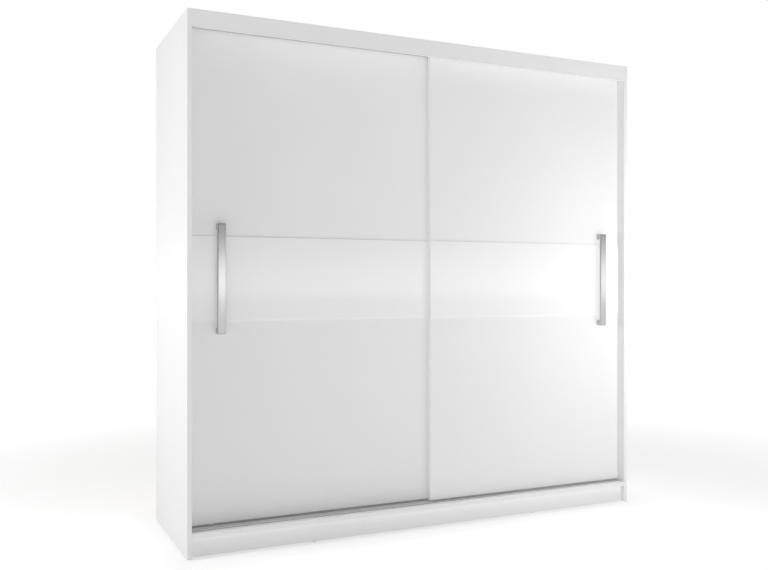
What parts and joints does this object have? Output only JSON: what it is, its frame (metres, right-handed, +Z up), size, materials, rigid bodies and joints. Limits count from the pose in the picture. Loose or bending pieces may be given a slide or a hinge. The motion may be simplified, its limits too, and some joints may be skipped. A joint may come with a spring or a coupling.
{
  "type": "sliding door wardrobe",
  "caption": "Tall white wardrobe with overlapping sliding doors, gloss glass bands and bar handles, a hanging rail and shelves inside.",
  "frame": {"origin": "on the floor under the middle of the wardrobe's outer box", "axes": "+X along the width, to the right as seen from the front; +Y towards the wall, so the doors face -Y; +Z up"},
  "size_m": [2.018, 0.606, 2],
  "materials": {
    "white_board": "white melamine-faced chipboard, satin",
    "white_hardboard": "white lacquered hardboard",
    "white_glass": "back-painted white glass, gloss",
    "satin_chrome": "satin chrome, brushed along the bar",
    "rail_chrome": "polished",
    "track_aluminium": "natural anodised extrusion",
    "zinc_plated_steel": "bright zinc plated",
    "cast_zinc": "die-cast zinc",
    "beech": "fluted beech dowel",
    "black_rubber": "matte",
    "white_plastic": "moulded",
    "grey_plastic": "moulded",
    "white_nylon": "natural nylon"
  },
  "bodies": {
    "carcass": {"back_panel_nails": "zinc_plated_steel", "bottom_panel": "white_board", "bottom_track": "track_aluminium", "cam_bolts": "zinc_plated_steel", "cam_locks": "cast_zinc", "centre_partition": "white_board", "centre_support": "white_board", "floor_glides": "white_plastic", "front_fascia": "white_board", "front_plinth": "white_board", "hanging_rail": "rail_chrome", "hanging_rail_brackets": "rail_chrome", "left_back_panel": "white_hardboard", "left_hat_shelf": "white_board", "left_side_panel": "white_board", "rail_bracket_screws": "zinc_plated_steel", "rear_plinth": "white_board", "right_back_panel": "white_hardboard", "right_hat_shelf": "white_board", "right_shelf_1": "white_board", "right_shelf_2": "white_board", "right_shelf_3": "white_board", "right_side_panel": "white_board", "shelf_pins": "zinc_plated_steel", "top_panel": "white_board", "top_track": "track_aluminium", "track_screws": "zinc_plated_steel", "track_stops": "black_rubber", "wood_dowels": "beech"},
    "left_door": {"left_door_glass_band": "white_glass", "left_door_guide_housings": "grey_plastic", "left_door_guide_spring_left": "zinc_plated_steel", "left_door_guide_spring_right": "zinc_plated_steel", "left_door_handle": "satin_chrome", "left_door_handle_screws": "zinc_plated_steel", "left_door_hardware_screws": "zinc_plated_steel", "left_door_panel": "white_board", "left_door_roller_adjusters": "zinc_plated_steel", "left_door_roller_axles": "zinc_plated_steel", "left_door_roller_housings": "grey_plastic"},
    "right_door": {"right_door_glass_band": "white_glass", "right_door_guide_housings": "grey_plastic", "right_door_guide_spring_left": "zinc_plated_steel", "right_door_guide_spring_right": "zinc_plated_steel", "right_door_handle": "satin_chrome", "right_door_handle_screws": "zinc_plated_steel", "right_door_hardware_screws": "zinc_plated_steel", "right_door_panel": "white_board", "right_door_roller_adjusters": "zinc_plated_steel", "right_door_roller_axles": "zinc_plated_steel", "right_door_roller_housings": "grey_plastic"},
    "left_door_guide_pin_left": {"left_door_guide_pin_left": "white_nylon"},
    "left_door_guide_pin_right": {"left_door_guide_pin_right": "white_nylon"},
    "left_door_roller_left": {"left_door_roller_left": "white_nylon"},
    "left_door_roller_right": {"left_door_roller_right": "white_nylon"},
    "right_door_guide_pin_left": {"right_door_guide_pin_left": "white_nylon"},
    "right_door_guide_pin_right": {"right_door_guide_pin_right": "white_nylon"},
    "right_door_roller_left": {"right_door_roller_left": "white_nylon"},
    "right_door_roller_right": {"right_door_roller_right": "white_nylon"}
  },
  "joints": [
    {"name": "left_door_slide", "type": "slide", "parent": "carcass", "child": "left_door", "axis": [1, 0, 0], "range_m": [0, 0.85]},
    {"name": "left_door_roller_left_spin", "type": "hinge", "parent": "left_door", "child": "left_door_roller_left", "pos_m": [-0.9005, -0.216, 0.109], "axis": [0, 1, 0], "range_deg": [0, 5240]},
    {"name": "left_door_roller_right_spin", "type": "hinge", "parent": "left_door", "child": "left_door_roller_right", "pos_m": [-0.059, -0.216, 0.109], "axis": [0, 1, 0], "range_deg": [0, 5240]},
    {"name": "left_door_guide_pin_left_press", "type": "slide", "parent": "left_door", "child": "left_door_guide_pin_left", "axis": [0, 0, 1], "range_m": [-0.014, 0], "stiffness_N_per_m": 300, "springref_m": 0.02, "deforming": ["left_door_guide_spring_left"]},
    {"name": "left_door_guide_pin_right_press", "type": "slide", "parent": "left_door", "child": "left_door_guide_pin_right", "axis": [0, 0, 1], "range_m": [-0.014, 0], "stiffness_N_per_m": 300, "springref_m": 0.02, "deforming": ["left_door_guide_spring_right"]},
    {"name": "right_door_slide", "type": "slide", "parent": "carcass", "child": "right_door", "axis": [1, 0, 0], "range_m": [-0.85, 0]},
    {"name": "right_door_roller_left_spin", "type": "hinge", "parent": "right_door", "child": "right_door_roller_left", "pos_m": [0.0975, -0.25, 0.109], "axis": [0, 1, 0], "range_deg": [-5240, 0]},
    {"name": "right_door_roller_right_spin", "type": "hinge", "parent": "right_door", "child": "right_door_roller_right", "pos_m": [0.9005, -0.25, 0.109], "axis": [0, 1, 0], "range_deg": [-5240, 0]},
    {"name": "right_door_guide_pin_left_press", "type": "slide", "parent": "right_door", "child": "right_door_guide_pin_left", "axis": [0, 0, 1], "range_m": [-0.014, 0], "stiffness_N_per_m": 300, "springref_m": 0.02, "deforming": ["right_door_guide_spring_left"]},
    {"name": "right_door_guide_pin_right_press", "type": "slide", "parent": "right_door", "child": "right_door_guide_pin_right", "axis": [0, 0, 1], "range_m": [-0.014, 0], "stiffness_N_per_m": 300, "springref_m": 0.02, "deforming": ["right_door_guide_spring_right"]}
  ],
  "couplings": [
    {"joint": "left_door_roller_left_spin", "follows": "left_door_slide", "rad_per_m": 107.53},
    {"joint": "left_door_roller_right_spin", "follows": "left_door_slide", "rad_per_m": 107.53},
    {"joint": "right_door_roller_left_spin", "follows": "right_door_slide", "rad_per_m": 107.53},
    {"joint": "right_door_roller_right_spin", "follows": "right_door_slide", "rad_per_m": 107.53}
  ]
}
